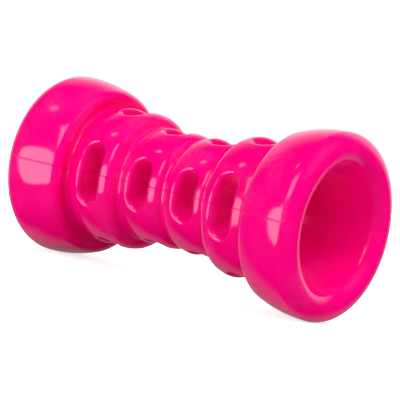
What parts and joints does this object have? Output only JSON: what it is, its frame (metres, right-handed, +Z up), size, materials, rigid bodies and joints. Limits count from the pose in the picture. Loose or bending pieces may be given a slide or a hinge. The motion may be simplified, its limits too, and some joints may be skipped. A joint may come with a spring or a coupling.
{
  "type": "rubber chew toy",
  "caption": "Hollow rubber dog chew toy: a waisted tube with flared, thick-lipped open ends and rounded ribs whose long slots open into the core, for chewing and for holding treats",
  "frame": {"origin": "middle of the toy's length and width, on the surface that both bells rest on", "axes": "+X along the toy's own axis, towards the end that is nearer in the picture; +Z up; slots face +Z, -Z, +Y and -Y"},
  "size_m": [0.14, 0.0722, 0.0722],
  "materials": {
    "rubber": "glossy"
  },
  "bodies": {
    "root": {"left_lip": "rubber", "left_bell": "rubber", "left_outer_rib": "rubber", "left_inner_rib": "rubber", "right_inner_rib": "rubber", "right_outer_rib": "rubber", "right_bell": "rubber", "right_lip": "rubber"}
  },
  "joints": []
}
